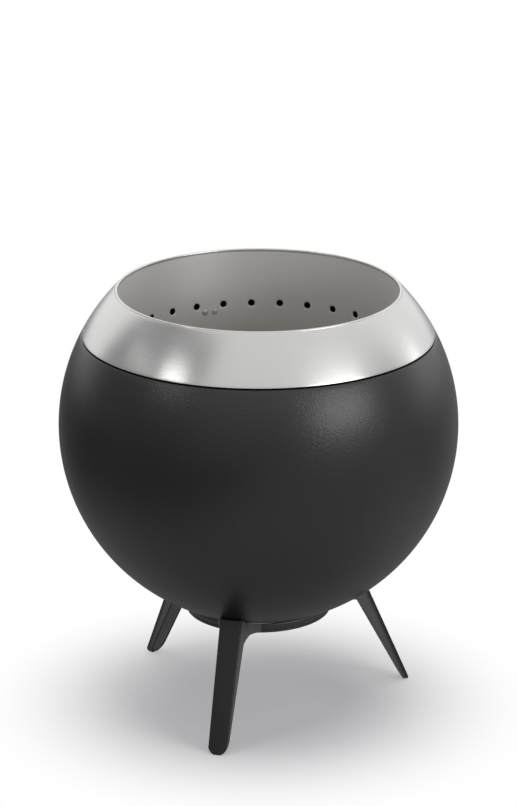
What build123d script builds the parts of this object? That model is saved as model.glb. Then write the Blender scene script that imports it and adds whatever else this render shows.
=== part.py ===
from build123d import *
import os
from math import asin, atan2, cos, radians, sin, sqrt, tan

os.makedirs("parts", exist_ok=True)

# A ball-shaped brazier on three cast legs. Its fire chamber hangs from a loose stainless rim.
# Sizes are in millimetres. A height is above the ground, a reach is from the upright centre axis.

# Bowl: a pressed and enamelled steel ball, open at the top and at the bottom.
bowl_radius = 225.0
bowl_lift = 105.0
bowl_wall = 1.5
ledge_width = 14.0
ledge_bend = 1.2

# Mouth, rim and the seam between the rim and the bowl.
mouth_inside = 157.0
lip_radius = 1.5
rim_height = 52.4
seam_gap = 2.0
gasket_inset = 5.0

# Stainless sheet of the rim, the fire chamber and the small brackets.
sheet_wall = 1.2
sheet_edge = 0.4
spigot_depth = 14.0
spigot_play = 2.5

# Fire chamber: a tube with a pressed floor, which has a ledge for the grate and one for the ash pan.
floor_bend = 110.0
floor_collar = 8.0
grate_ledge_rise = 101.0
grate_ledge_reach = 113.0
grate_ledge_width = 9.0
pan_ledge_drop = 8.0
pan_ledge_width = 8.0

# Air holes of the fire chamber.
upper_air_drop = 64.0
upper_air_radius = 4.0
upper_air_count = 30
lower_air_rise = 30.0
lower_air_radius = 5.0
lower_air_count = 24

# Brackets that centre the fire chamber in the rim, and their rivets.
bracket_count = 3
bracket_width = 20.0
bracket_tab = 16.0
rivet_radius = 2.0
rivet_head_radius = 3.6
rivet_head_height = 1.3
rivet_head_draft = 30.0
rivet_spread = 12.0

# Grate.
grate_thickness = 6.0
grate_edge = 1.0
grate_ring_width = 10.0
grate_slot_width = 9.0
grate_bar_width = 9.0
grate_rib_width = 10.0
shortest_slot = 14.0

# Ash pan and its two wire grips.
pan_depth = 46.0
pan_wall = 1.0
pan_corner = 9.0
grip_wire_radius = 2.0
grip_half_width = 15.0
grip_length = 10.0

# Base ring below the air inlet.
ring_top_reach = 85.0
ring_taper = 3.0
ring_depth = 12.35
ring_side = 9.6
ring_wall = 8.0
ring_shoulder = 1.0
ring_flange_width = 16.0
ring_flange_thickness = 3.0
ring_lip_height = 2.2
ring_groove = 1.0
inlet_margin = 5.0

# Heat shield above the air inlet.
shield_reach = 80.0
shield_rise = 33.0
shield_rim = 5.0
shield_tab_width = 16.0
shield_tab_run = 21.0
shield_tab_foot = 12.0

# Legs: blade, arm and the flares where the arm meets the base ring.
leg_count = 3
first_leg_azimuth = -90.0
leg_foot_reach = 180.5
arm_length = 35.1
leg_foot_thickness = 6.6
leg_top_thickness = 18.0
leg_foot_width = 20.4
leg_top_width = 24.4
leg_draft = 8.0
leg_edge = 1.0
foot_flat = 0.6
arm_rise = 1.0
arm_width = 28.0
arm_corner = 7.0
flare_edge = 0.8
flare_radius = 16.0
back_groove_inset = 1.4
back_groove_width = 1.8
back_groove_depth = 2.0
back_groove_margin = 4.0

# Screws that hold the legs to the bowl from inside, with their washers.
screw_radius = 3.0
screw_length = 12.0
screw_head_radius = 5.25
screw_head_height = 3.3
screw_head_draft = 20.0
screw_socket_width = 4.0
screw_socket_depth = 2.0
inner_screw_gap = 7.0
outer_screw_inset = 10.1
washer_radius = 6.4
washer_thickness = 1.6

# Clearances, and how far a cutter runs past the wall that it cuts.
seat_gap = 0.3
bowl_to_leg_gap = 0.6
thread_gap = 0.05
hole_gap = 0.3
drop_in_gap = 1.0
cutter_run = 5.0


bowl_centre = bowl_lift + bowl_radius
bowl_inside = bowl_radius - bowl_wall


def at_height(radius, height):
    """Point at this height on the ball of this radius about the bowl's centre."""
    return (sqrt(radius**2 - (height - bowl_centre) ** 2), height)


def below_centre(radius, reach):
    """Point at this reach on the lower half of the ball of this radius about the bowl's centre."""
    return (reach, bowl_centre - sqrt(radius**2 - reach**2))


def outwards(azimuth):
    """Level unit vector that points outwards at the azimuth."""
    return Vector(cos(radians(azimuth)), sin(radians(azimuth)), 0)


def across(azimuth):
    """Level unit vector that points sideways at the azimuth, anticlockwise seen from above."""
    return outwards(azimuth + 90)


def upright_plane(azimuth):
    """Upright plane through the axis: its X runs outwards at the azimuth, its Y runs up."""
    return Plane(origin=(0, 0, 0), x_dir=outwards(azimuth), z_dir=-across(azimuth))


def level_plane(azimuth, height):
    """Level plane at a height: its X runs outwards at the azimuth."""
    return Plane(origin=(0, 0, height), x_dir=outwards(azimuth), z_dir=(0, 0, 1))


def facing_plane(azimuth, reach, height):
    """Upright plane that faces outwards at the azimuth, with its centre at a reach and a height."""
    centre = outwards(azimuth) * reach + Vector(0, 0, height)
    return Plane(origin=centre, x_dir=across(azimuth), z_dir=outwards(azimuth))


def facing_planes(azimuths, reach, height):
    """One upright plane for each azimuth, all at one reach and one height."""
    return [facing_plane(azimuth, reach, height) for azimuth in azimuths]


def even_azimuths(count, first=0.0):
    """Azimuths of a number of places spread evenly round the axis."""
    return [first + 360.0 / count * number for number in range(count)]


def bowl_normal_plane(azimuth, reach, radius):
    """Plane that touches the ball of this radius where its normal meets the bowl at the reach."""
    polar = asin(reach / bowl_radius)
    normal = outwards(azimuth) * sin(polar) - Vector(0, 0, cos(polar))
    return Plane(origin=Vector(0, 0, bowl_centre) + normal * radius, z_dir=normal)


def screw_planes(radius):
    """One plane for each leg screw, square to the screw, where it passes the ball of this radius."""
    return [bowl_normal_plane(azimuth, reach, radius) for azimuth, reach in leg_screw_spots]


def finish(piece, name):
    """Names the piece and writes its file."""
    piece.part.label = name
    export_step(piece.part, f"parts/{name}.step")


# Mouth and seam, which follow from the ball and the rim's height.
lip_reach = mouth_inside + lip_radius
lip_height = bowl_centre + sqrt((bowl_radius - lip_radius) ** 2 - lip_reach**2)
seam_height = lip_height + lip_radius - rim_height
bowl_top = seam_height - seam_gap / 2
rim_bottom = seam_height + seam_gap / 2
ledge_outer = at_height(bowl_radius, bowl_top)[0]
ledge_reach = ledge_outer - ledge_width
spigot_reach = ledge_reach - spigot_play

# Base ring and air inlet, which follow from the ball above them.
ring_seat_radius = bowl_radius + seat_gap
ring_inside = ring_top_reach - ring_wall
ring_foot_reach = ring_top_reach - ring_taper
ring_height = below_centre(ring_seat_radius, ring_top_reach)[1] - ring_depth
ring_top_height = ring_height + ring_side
inlet_reach = ring_inside - inlet_margin

# Legs and screws, which follow from the base ring and the ball.
leg_azimuths = even_azimuths(leg_count, first_leg_azimuth)
leg_top_reach, leg_top_height = below_centre(bowl_radius, ring_top_reach + arm_length)
leg_slope = (leg_foot_reach - leg_top_reach) / leg_top_height
lean = atan2(leg_foot_reach - leg_top_reach, leg_top_height)
arm_underside = ring_height + arm_rise
screw_reaches = (ring_top_reach + inner_screw_gap, leg_top_reach - outer_screw_inset)
leg_screw_spots = [(azimuth, reach) for azimuth in leg_azimuths for reach in screw_reaches]


# Bowl shell: the black ball with an inward ledge at its top edge.
with BuildPart() as bowl_shell:
    with BuildSketch(Plane.XZ):
        with BuildLine():
            outer_low = below_centre(bowl_radius, inlet_reach)
            outer_high = at_height(bowl_radius, bowl_top)
            inner_high = at_height(bowl_inside, bowl_top - bowl_wall)
            inner_low = below_centre(bowl_inside, inlet_reach)
            ThreePointArc(outer_low, (bowl_radius, bowl_centre), outer_high)
            Polyline(outer_high, (ledge_reach, bowl_top), (ledge_reach, bowl_top - bowl_wall), inner_high)
            ThreePointArc(inner_high, (bowl_inside, bowl_centre), inner_low)
            Line(inner_low, outer_low)
        make_face()
    revolve(axis=Axis.Z)
    top_edges = bowl_shell.edges().filter_by(GeomType.CIRCLE).group_by(Axis.Z)[-1]
    fillet(top_edges.sort_by(SortBy.RADIUS)[-1], ledge_bend)
    with Locations(*screw_planes(bowl_radius)):
        Cylinder(screw_radius + hole_gap, 2 * cutter_run, mode=Mode.SUBTRACT)
finish(bowl_shell, "bowl_shell")


# Base ring: welded under the bowl round the air inlet, with a lip and a groove along its lower edge.
with BuildPart() as base_ring:
    with BuildSketch(Plane.XZ):
        with BuildLine():
            shoulder = below_centre(ring_seat_radius, ring_top_reach - ring_shoulder)
            inner_seat = below_centre(ring_seat_radius, ring_inside)
            middle_seat = below_centre(ring_seat_radius, (shoulder[0] + ring_inside) / 2)
            ring_flange_reach = ring_foot_reach - ring_flange_width
            ring_flange_top = ring_height + ring_flange_thickness
            lip_top = ring_height + ring_lip_height
            groove_top = lip_top + 2 * ring_groove
            Polyline(
                inner_seat,
                (ring_inside, ring_flange_top),
                (ring_flange_reach, ring_flange_top),
                (ring_flange_reach, ring_height),
                (ring_foot_reach, ring_height),
                (ring_foot_reach, lip_top),
                (ring_foot_reach - ring_groove, lip_top + ring_groove / 2),
                (ring_foot_reach - ring_groove, groove_top - ring_groove / 2),
                (ring_foot_reach + ring_taper * (groove_top - ring_height) / ring_side, groove_top),
                (ring_top_reach, ring_top_height),
                shoulder,
            )
            ThreePointArc(shoulder, middle_seat, inner_seat)
        make_face()
    revolve(axis=Axis.Z)
finish(base_ring, "base_ring")


# Legs: one casting each, with a tapered blade and a short arm that flares out against the base ring.
blade_top = leg_top_height + leg_top_thickness


def leg_outside(height):
    """Reach of a leg's outer face at a height."""
    return leg_foot_reach - height * leg_slope


def leg_inside(height):
    """Reach of a leg's inner face at a height."""
    share = height / arm_underside
    return leg_outside(height) - leg_foot_thickness - share * (leg_top_thickness - leg_foot_thickness)


def leg_face_plane(azimuth, depth):
    """Plane a depth behind a leg's outer face: X runs across, Y runs up the face, Z points inwards."""
    inwards = outwards(azimuth) * -cos(lean) + Vector(0, 0, -sin(lean))
    centre = outwards(azimuth) * leg_foot_reach + inwards * depth
    return Plane(origin=centre, x_dir=-across(azimuth), z_dir=inwards)


def leg_back_plane(azimuth):
    """Plane on a leg's inner face: X runs across, Y runs up the face, Z points into the leg."""
    into_leg = outwards(azimuth) * cos(inner_lean) + Vector(0, 0, sin(inner_lean))
    return Plane(origin=outwards(azimuth) * leg_inside(0), x_dir=across(azimuth), z_dir=into_leg)


inner_lean = atan2(leg_inside(0) - leg_inside(arm_underside), arm_underside)
corner_run = arm_corner * tan((radians(90) - inner_lean) / 2)
foot_round = leg_foot_width / 2 + leg_foot_thickness * tan(radians(leg_draft))
foot_centre = foot_round - foot_flat


def blade_side(azimuth):
    """Side view of the blade, with the rounded corner where the arm starts. The ball cuts its top."""
    side_top = leg_top_height + leg_edge
    corner_reach = leg_inside(arm_underside)
    corner_start = (corner_reach + corner_run * sin(inner_lean), arm_underside - corner_run * cos(inner_lean))
    corner_end = (corner_reach - corner_run, arm_underside)
    with BuildSketch(upright_plane(azimuth)) as side_view:
        with BuildLine():
            Polyline(
                corner_end,
                (corner_end[0], side_top),
                (leg_outside(side_top), side_top),
                (leg_outside(0), 0),
                (leg_inside(0), 0),
                corner_start,
            )
            TangentArc(corner_start, corner_end, tangent=(-sin(inner_lean), cos(inner_lean)))
        make_face()
    return side_view.sketch


def blade_front(azimuth):
    """Front view of the blade, square to its outer face and run on below the ground."""
    face_length = blade_top / cos(lean) + foot_round
    with BuildSketch(leg_face_plane(azimuth, 0)) as front_view:
        with BuildLine():
            Polyline(
                (-leg_foot_width / 2, -foot_round),
                (-leg_top_width / 2, face_length),
                (leg_top_width / 2, face_length),
                (leg_foot_width / 2, -foot_round),
                close=True,
            )
        make_face()
    return front_view.sketch


def foot_front(azimuth):
    """Level view of the leg from outside, which rounds its foot."""
    with BuildSketch(facing_plane(azimuth, 0, 0)) as front_view:
        with BuildLine():
            left = (-foot_round, foot_centre)
            right = (foot_round, foot_centre)
            Polyline(left, (-arm_width, foot_centre + arm_width), (-arm_width, blade_top))
            Polyline((-arm_width, blade_top), (arm_width, blade_top))
            Polyline((arm_width, blade_top), (arm_width, foot_centre + arm_width), right)
            ThreePointArc(left, (0, -foot_flat), right)
        make_face()
    return front_view.sketch


def arm_plan(azimuth, height):
    """Plan of the arm at a height, which flares out to the side of the base ring there."""
    half = arm_width / 2
    side_reach = ring_foot_reach + ring_taper * (height - ring_height) / ring_side
    flare_end = side_reach + seat_gap + flare_edge
    flare_reach = sqrt((flare_end + flare_radius) ** 2 - (half + flare_radius) ** 2)
    share = flare_end / (flare_end + flare_radius)
    tip = Vector(flare_reach * share, (half + flare_radius) * share)
    flare_centre = Vector(flare_reach, half + flare_radius)
    to_middle = (Vector(flare_reach, half) + tip - flare_centre * 2).normalized()
    middle = flare_centre + to_middle * flare_radius
    inner = tip * (ring_inside / flare_end)
    with BuildSketch(level_plane(azimuth, height)) as plan:
        with BuildLine():
            root = leg_inside(arm_underside)
            Line((root, -half), (root, half))
            for side in (1, -1):
                Line((root, side * half), (flare_reach, side * half))
                ThreePointArc((flare_reach, side * half), (middle.X, side * middle.Y), (tip.X, side * tip.Y))
                Line((tip.X, side * tip.Y), (inner.X, side * inner.Y))
            Line((inner.X, inner.Y), (inner.X, -inner.Y))
        make_face()
    return plan.sketch


def ring_cutter():
    """Half section of a cone that clears the base ring's flared side, from the axis outwards."""
    low_reach = ring_foot_reach + seat_gap - ring_taper
    high_reach = ring_top_reach + seat_gap + ring_taper
    low = ring_height - ring_side
    high = ring_top_height + ring_side
    with BuildSketch(Plane.XZ) as half_section:
        with BuildLine():
            Polyline((0, low), (low_reach, low), (high_reach, high), (0, high), close=True)
        make_face()
    return half_section.sketch


def back_half_width(height):
    """Half the width of a leg's inner face at a height."""
    outer_half = leg_foot_width / 2 + (leg_top_width - leg_foot_width) / 2 * height / blade_top
    depth = (leg_outside(height) - leg_inside(height)) * cos(lean)
    return outer_half + depth * tan(radians(leg_draft))


def back_outline(inset):
    """Outline that follows the sides and the foot of a leg's inner face, this far inside them."""
    top_height = arm_underside - corner_run - back_groove_margin
    low_half = back_half_width(foot_centre) - inset
    high_half = back_half_width(top_height) - inset
    with BuildLine() as outline:
        left = (-low_half, foot_centre / cos(inner_lean))
        right = (low_half, foot_centre / cos(inner_lean))
        high = top_height / cos(inner_lean)
        Polyline(left, (-high_half, high), (high_half, high), right)
        ThreePointArc(left, (0, inset), right)
    return outline.line


def back_groove(azimuth):
    """Groove along the edge of a leg's inner face, open at its top."""
    with BuildSketch(leg_back_plane(azimuth)) as groove:
        make_face(back_outline(back_groove_inset).edges())
        make_face(back_outline(back_groove_inset + back_groove_width).edges(), mode=Mode.SUBTRACT)
    return groove.sketch


def make_leg(azimuth):
    """One leg casting at an azimuth."""
    with BuildPart() as leg:
        extrude(blade_side(azimuth), amount=arm_width, both=True)
        extrude(blade_front(azimuth), amount=3 * leg_top_thickness, taper=-leg_draft, mode=Mode.INTERSECT)
        extrude(foot_front(azimuth), amount=2 * leg_foot_reach, mode=Mode.INTERSECT)
        loft([arm_plan(azimuth, arm_underside), arm_plan(azimuth, arm_underside + arm_width)])
        with Locations((0, 0, bowl_centre)):
            Sphere(bowl_radius + bowl_to_leg_gap, mode=Mode.SUBTRACT)
        revolve(ring_cutter(), axis=Axis.Z, mode=Mode.SUBTRACT)
        extrude(back_groove(azimuth), amount=back_groove_depth, mode=Mode.SUBTRACT)
        with Locations(*[bowl_normal_plane(azimuth, reach, bowl_radius) for reach in screw_reaches]):
            Cylinder(screw_radius + thread_gap, 2 * (screw_length + drop_in_gap), mode=Mode.SUBTRACT)
        outer_face = leg.faces().sort_by(Axis((0, 0, 0), leg_face_plane(azimuth, 0).z_dir))[0]
        fillet(outer_face.edges(), leg_edge)
    return leg


for number, azimuth in enumerate(leg_azimuths, start=1):
    finish(make_leg(azimuth), f"leg_{number}")


# Leg screws: button heads with a hexagon socket, inside the bowl, each on a washer.
washer_seat_radius = bowl_inside - seat_gap
head_seat_radius = washer_seat_radius - washer_thickness
shank_length = bowl_radius + screw_length - head_seat_radius

with BuildPart() as leg_screws:
    with BuildSketch(*screw_planes(head_seat_radius)):
        Circle(screw_radius)
    extrude(amount=shank_length)
    with BuildSketch(*screw_planes(head_seat_radius)):
        Circle(screw_head_radius)
    extrude(amount=-screw_head_height, taper=screw_head_draft)
    with BuildSketch(*screw_planes(head_seat_radius - screw_head_height)):
        RegularPolygon(screw_socket_width / 2, 6, major_radius=False)
    extrude(amount=screw_socket_depth, mode=Mode.SUBTRACT)
finish(leg_screws, "leg_screws")

with BuildPart() as leg_washers:
    with BuildSketch(*screw_planes(head_seat_radius)):
        Circle(washer_radius)
        Circle(screw_radius + hole_gap, mode=Mode.SUBTRACT)
    extrude(amount=washer_thickness)
finish(leg_washers, "leg_washers")


# Heat shield: a dish over the air inlet that keeps embers and heat from the ground, on three bent tabs.
shield_bottom = bowl_lift + shield_rise
shield_top = shield_bottom + sheet_wall
tab_knee = below_centre(bowl_inside - seat_gap, shield_reach + shield_tab_run)
tab_toe = below_centre(bowl_inside - seat_gap, shield_reach + shield_tab_run + shield_tab_foot)

with BuildPart() as heat_shield:
    with BuildSketch(Plane.XZ):
        with BuildLine():
            Polyline(
                (0, shield_bottom),
                (shield_reach - sheet_wall, shield_bottom),
                (shield_reach - sheet_wall, shield_bottom - shield_rim),
                (shield_reach, shield_bottom - shield_rim),
                (shield_reach, shield_top),
                (0, shield_top),
                close=True,
            )
        make_face()
    revolve(axis=Axis.Z)
    for azimuth in leg_azimuths:
        with BuildSketch(upright_plane(azimuth + 180)):
            with BuildLine():
                Polyline(
                    (shield_reach - sheet_wall / 2, shield_bottom),
                    tab_knee,
                    tab_toe,
                    (tab_toe[0] - sheet_wall / 2, tab_toe[1] + sheet_wall),
                    (tab_knee[0] + sheet_wall / 2, tab_knee[1] + sheet_wall),
                    (shield_reach, shield_top),
                    close=True,
                )
            make_face()
        extrude(amount=shield_tab_width / 2, both=True)
finish(heat_shield, "heat_shield")


# Seam gasket: a black ring on the bowl's ledge that carries the rim.
gasket_thickness = seam_gap - seat_gap

with BuildPart() as seam_gasket:
    with BuildSketch(Plane.XY.offset(bowl_top)):
        Circle(ledge_outer - gasket_inset)
        Circle(ledge_reach + drop_in_gap, mode=Mode.SUBTRACT)
    extrude(amount=gasket_thickness)
finish(seam_gasket, "seam_gasket")


# Rim ring: the stainless band that carries the ball's outline on to the mouth.
rim_inside = bowl_radius - sheet_wall
lip_angle = atan2(lip_height - bowl_centre, lip_reach)
rim_end_angle = lip_angle - asin((lip_radius + seat_gap) / (bowl_radius - lip_radius))


def at_rim_end(radius):
    """Point where the rim ends beside the lip, on the ball of this radius about the bowl's centre."""
    return (radius * cos(rim_end_angle), bowl_centre + radius * sin(rim_end_angle))


with BuildPart() as rim_ring:
    with BuildSketch(Plane.XZ):
        with BuildLine():
            outer_low = at_height(bowl_radius, rim_bottom)
            outer_high = at_rim_end(bowl_radius)
            inner_high = at_rim_end(rim_inside)
            inner_low = at_height(rim_inside, rim_bottom)
            rim_middle = (rim_bottom + inner_high[1]) / 2
            ThreePointArc(outer_low, at_height(bowl_radius, rim_middle), outer_high)
            Line(outer_high, inner_high)
            ThreePointArc(inner_high, at_height(rim_inside, rim_middle), inner_low)
            Line(inner_low, outer_low)
        make_face()
    revolve(axis=Axis.Z)
    bottom_edges = rim_ring.edges().filter_by(GeomType.CIRCLE).group_by(Axis.Z)[0]
    top_edges = rim_ring.edges().filter_by(GeomType.CIRCLE).group_by(Axis.Z)[-1]
    fillet([bottom_edges.sort_by(SortBy.RADIUS)[-1], top_edges.sort_by(SortBy.RADIUS)[-1]], sheet_edge)
finish(rim_ring, "rim_ring")


# Places of the brackets between the fire chamber and the spigot, midway between two upper air holes.
bracket_azimuths = even_azimuths(bracket_count, 180.0 / upper_air_count)
bracket_inner = mouth_inside + sheet_wall + seat_gap
bracket_outer = spigot_reach - sheet_wall - 2 * seat_gap
bracket_height = rim_bottom - spigot_depth
inner_rivet_height = bracket_height - bracket_tab / 2
outer_rivet_height = bracket_height + spigot_depth / 2
rivet_hole_radius = rivet_radius + thread_gap


# Seat ring: welded inside the rim's lower edge.
# Its flange rests on the gasket and its spigot centres the rim.
spigot_inside = spigot_reach - sheet_wall
seat_flange_top = rim_bottom + sheet_wall
seat_flange_reach = at_height(rim_inside - seat_gap, seat_flange_top)[0]

with BuildPart() as seat_ring:
    with BuildSketch(Plane.XZ):
        with BuildLine():
            Polyline(
                (spigot_reach, rim_bottom),
                (seat_flange_reach, rim_bottom),
                (seat_flange_reach, seat_flange_top),
                (spigot_inside, seat_flange_top),
                (spigot_inside, bracket_height),
                (spigot_reach, bracket_height),
                close=True,
            )
        make_face()
    revolve(axis=Axis.Z)
    with BuildSketch(*facing_planes(bracket_azimuths, spigot_reach, outer_rivet_height)):
        with GridLocations(rivet_spread, 1, 2, 1):
            Circle(rivet_hole_radius)
    extrude(amount=cutter_run, both=True, mode=Mode.SUBTRACT)
finish(seat_ring, "seat_ring")


# Chamber floor: pressed steel, with a collar inside the tube, a row of air holes,
# a ledge for the grate and a lower one for the ash pan.
floor_inside = mouth_inside - sheet_wall - seat_gap
bend_centre_reach = floor_inside - floor_bend
grate_ledge_height = bowl_lift + grate_ledge_rise
bend_rise = sqrt(floor_bend**2 - (grate_ledge_reach - bend_centre_reach) ** 2)
bend_centre_height = grate_ledge_height + bend_rise
pan_ledge_height = grate_ledge_height - pan_ledge_drop
lower_air_height = grate_ledge_height + lower_air_rise
pan_ledge_reach = grate_ledge_reach - grate_ledge_width
floor_hole_reach = pan_ledge_reach - pan_ledge_width


def floor_bend_point(shift, height):
    """Point at a height on the floor's curved side, or on the curve a shift outside it."""
    rise = bend_centre_height - height
    return (bend_centre_reach + sqrt((floor_bend + shift) ** 2 - rise**2), height)


with BuildPart() as chamber_floor:
    with BuildSketch(Plane.XZ):
        with BuildLine():
            collar_top = bend_centre_height + floor_collar
            for shift in (0, sheet_wall):
                collar_low = (floor_inside + shift, bend_centre_height)
                bend_end = floor_bend_point(shift, grate_ledge_height - shift)
                bend_middle = floor_bend_point(shift, (bend_centre_height + grate_ledge_height) / 2)
                Line((floor_inside + shift, collar_top), collar_low)
                ThreePointArc(collar_low, bend_middle, bend_end)
                Polyline(
                    bend_end,
                    (pan_ledge_reach + shift, grate_ledge_height - shift),
                    (pan_ledge_reach + shift, pan_ledge_height - shift),
                    (floor_hole_reach, pan_ledge_height - shift),
                )
            Line((floor_inside, collar_top), (floor_inside + sheet_wall, collar_top))
            Line((floor_hole_reach, pan_ledge_height), (floor_hole_reach, pan_ledge_height - sheet_wall))
        make_face()
    revolve(axis=Axis.Z)
    with BuildSketch(*facing_planes(even_azimuths(lower_air_count), pan_ledge_reach, lower_air_height)):
        Circle(lower_air_radius)
    extrude(amount=bowl_radius - pan_ledge_reach, mode=Mode.SUBTRACT)
finish(chamber_floor, "chamber_floor")


# Chamber wall: rolled stainless tube over the floor's collar, with a rolled lip and a row of air holes.
upper_air_height = lip_height - upper_air_drop

with BuildPart() as chamber_wall:
    with BuildSketch(Plane.XZ):
        with BuildLine():
            Polyline(
                (mouth_inside, bend_centre_height),
                (mouth_inside + sheet_wall, bend_centre_height),
                (mouth_inside + sheet_wall, lip_height),
                (mouth_inside, lip_height),
                close=True,
            )
        make_face()
        with Locations((lip_reach, lip_height)):
            Circle(lip_radius)
    revolve(axis=Axis.Z)
    with BuildSketch(*facing_planes(even_azimuths(upper_air_count), mouth_inside, upper_air_height)):
        Circle(upper_air_radius)
    extrude(amount=cutter_run, both=True, mode=Mode.SUBTRACT)
    with BuildSketch(*facing_planes(bracket_azimuths, mouth_inside, inner_rivet_height)):
        with GridLocations(rivet_spread, 1, 2, 1):
            Circle(rivet_hole_radius)
    extrude(amount=cutter_run, both=True, mode=Mode.SUBTRACT)
finish(chamber_wall, "chamber_wall")


# Chamber brackets: bent strips between the fire chamber and the spigot, riveted at both ends.
def make_bracket(azimuth):
    """One bent bracket at an azimuth, with its two pairs of rivet holes."""
    tab_high = rim_bottom - seat_gap
    with BuildPart() as bracket:
        with BuildSketch(upright_plane(azimuth)):
            with BuildLine():
                Polyline(
                    (bracket_inner, bracket_height - bracket_tab),
                    (bracket_inner + sheet_wall, bracket_height - bracket_tab),
                    (bracket_inner + sheet_wall, bracket_height),
                    (bracket_outer, bracket_height),
                    (bracket_outer, tab_high),
                    (bracket_outer - sheet_wall, tab_high),
                    (bracket_outer - sheet_wall, bracket_height + sheet_wall),
                    (bracket_inner, bracket_height + sheet_wall),
                    close=True,
                )
            make_face()
        extrude(amount=bracket_width / 2, both=True)
        for height, reach in ((inner_rivet_height, bracket_inner), (outer_rivet_height, bracket_outer)):
            with BuildSketch(facing_plane(azimuth, reach, height)):
                with GridLocations(rivet_spread, 1, 2, 1):
                    Circle(rivet_hole_radius)
            extrude(amount=2 * sheet_wall, both=True, mode=Mode.SUBTRACT)
    return bracket


for number, azimuth in enumerate(bracket_azimuths, start=1):
    finish(make_bracket(azimuth), f"chamber_bracket_{number}")


# Bracket rivets: two at each end of each bracket, with a low head on both sides.
rivet_far_side = rivet_spread / 2 + rivet_head_radius
chamber_head_reach = sqrt(mouth_inside**2 - rivet_far_side**2) - thread_gap
rivet_runs = (
    (inner_rivet_height, chamber_head_reach, bracket_inner + sheet_wall + thread_gap),
    (outer_rivet_height, bracket_outer - sheet_wall - thread_gap, spigot_reach + thread_gap),
)

with BuildPart() as bracket_rivets:
    for height, near, far in rivet_runs:
        with BuildSketch(*facing_planes(bracket_azimuths, near, height)):
            with GridLocations(rivet_spread, 1, 2, 1):
                Circle(rivet_radius)
        extrude(amount=far - near)
        for reach, amount in ((near, -rivet_head_height), (far, rivet_head_height)):
            with BuildSketch(*facing_planes(bracket_azimuths, reach, height)):
                with GridLocations(rivet_spread, 1, 2, 1):
                    Circle(rivet_head_radius)
            extrude(amount=amount, taper=rivet_head_draft)
finish(bracket_rivets, "bracket_rivets")


# Grate: a cast disc of parallel bars with a cross rib, on the floor's upper ledge.
grate_reach = grate_ledge_reach - drop_in_gap
grate_open_reach = grate_reach - grate_ring_width
grate_pitch = grate_slot_width + grate_bar_width
slots_each_side = int((grate_open_reach - grate_slot_width) / grate_pitch)

with BuildPart() as grate:
    with BuildSketch(Plane.XY.offset(grate_ledge_height + seat_gap)):
        Circle(grate_reach)
        for number in range(-slots_each_side, slots_each_side + 1):
            place = number * grate_pitch
            half_chord = sqrt(grate_open_reach**2 - (abs(place) + grate_slot_width / 2) ** 2)
            slot_length = half_chord - grate_rib_width / 2
            if slot_length > shortest_slot:
                with Locations(*[(place, side * (grate_rib_width + slot_length) / 2) for side in (-1, 1)]):
                    SlotOverall(slot_length, grate_slot_width, rotation=90, mode=Mode.SUBTRACT)
    extrude(amount=grate_thickness)
    rim_edges = grate.edges().filter_by(GeomType.CIRCLE).sort_by(SortBy.RADIUS)[-2:]
    chamfer(rim_edges, grate_edge)
finish(grate, "grate")


# Ash pan: a shallow steel pot that hangs by its flange in the floor's lower ledge.
pan_flange_reach = pan_ledge_reach - drop_in_gap
pan_reach = floor_hole_reach - drop_in_gap
pan_flange_top = pan_ledge_height + seat_gap + pan_wall

with BuildPart() as ash_pan:
    with BuildSketch(Plane.XY.offset(pan_flange_top - pan_depth)):
        Circle(pan_reach)
    extrude(amount=pan_depth)
    fillet(ash_pan.edges().group_by(Axis.Z)[0], pan_corner)
    offset(amount=-pan_wall, openings=ash_pan.faces().sort_by(Axis.Z)[-1])
    with BuildSketch(Plane.XY.offset(pan_flange_top)):
        Circle(pan_flange_reach)
        Circle(pan_reach - pan_wall, mode=Mode.SUBTRACT)
    extrude(amount=-pan_wall)
finish(ash_pan, "ash_pan")


# Ash pan grips: two bent wires, welded on the flange, that reach in over the pan.
grip_height = pan_flange_top + grip_wire_radius
grip_end = pan_flange_reach - grip_wire_radius
grip_bend = grip_end - grip_length

for number, azimuth in enumerate((0.0, 180.0), start=1):
    with BuildPart() as ash_pan_grip:
        with BuildLine(level_plane(azimuth, grip_height)) as wire:
            Line((grip_end, -grip_half_width), (grip_bend, -grip_half_width))
            ThreePointArc(
                (grip_bend, -grip_half_width),
                (grip_bend - grip_half_width, 0),
                (grip_bend, grip_half_width),
            )
            Line((grip_bend, grip_half_width), (grip_end, grip_half_width))
        with BuildSketch(Plane(origin=wire.line @ 0, z_dir=wire.line % 0)):
            Circle(grip_wire_radius)
        sweep(path=wire.line)
    finish(ash_pan_grip, f"ash_pan_grip_{number}")
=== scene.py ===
from math import acos, asin, atan2, cos, degrees, pi, radians, sin, sqrt

import bpy
from mathutils import Matrix, Vector


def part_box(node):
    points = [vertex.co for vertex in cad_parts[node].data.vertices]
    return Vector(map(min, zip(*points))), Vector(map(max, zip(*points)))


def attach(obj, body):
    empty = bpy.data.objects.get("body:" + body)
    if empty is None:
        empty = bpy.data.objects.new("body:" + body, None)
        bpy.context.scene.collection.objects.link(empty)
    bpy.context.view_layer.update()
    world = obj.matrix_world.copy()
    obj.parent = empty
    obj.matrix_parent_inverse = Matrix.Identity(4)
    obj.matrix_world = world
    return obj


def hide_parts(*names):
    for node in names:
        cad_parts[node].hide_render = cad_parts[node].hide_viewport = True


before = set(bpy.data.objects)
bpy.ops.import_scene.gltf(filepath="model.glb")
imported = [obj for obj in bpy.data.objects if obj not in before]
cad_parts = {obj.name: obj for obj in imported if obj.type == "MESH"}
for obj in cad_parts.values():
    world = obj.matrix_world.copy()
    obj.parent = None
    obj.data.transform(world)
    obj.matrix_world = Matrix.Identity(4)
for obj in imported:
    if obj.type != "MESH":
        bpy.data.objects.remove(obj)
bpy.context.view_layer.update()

bpy.context.scene.view_settings.view_transform = "Standard"


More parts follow.
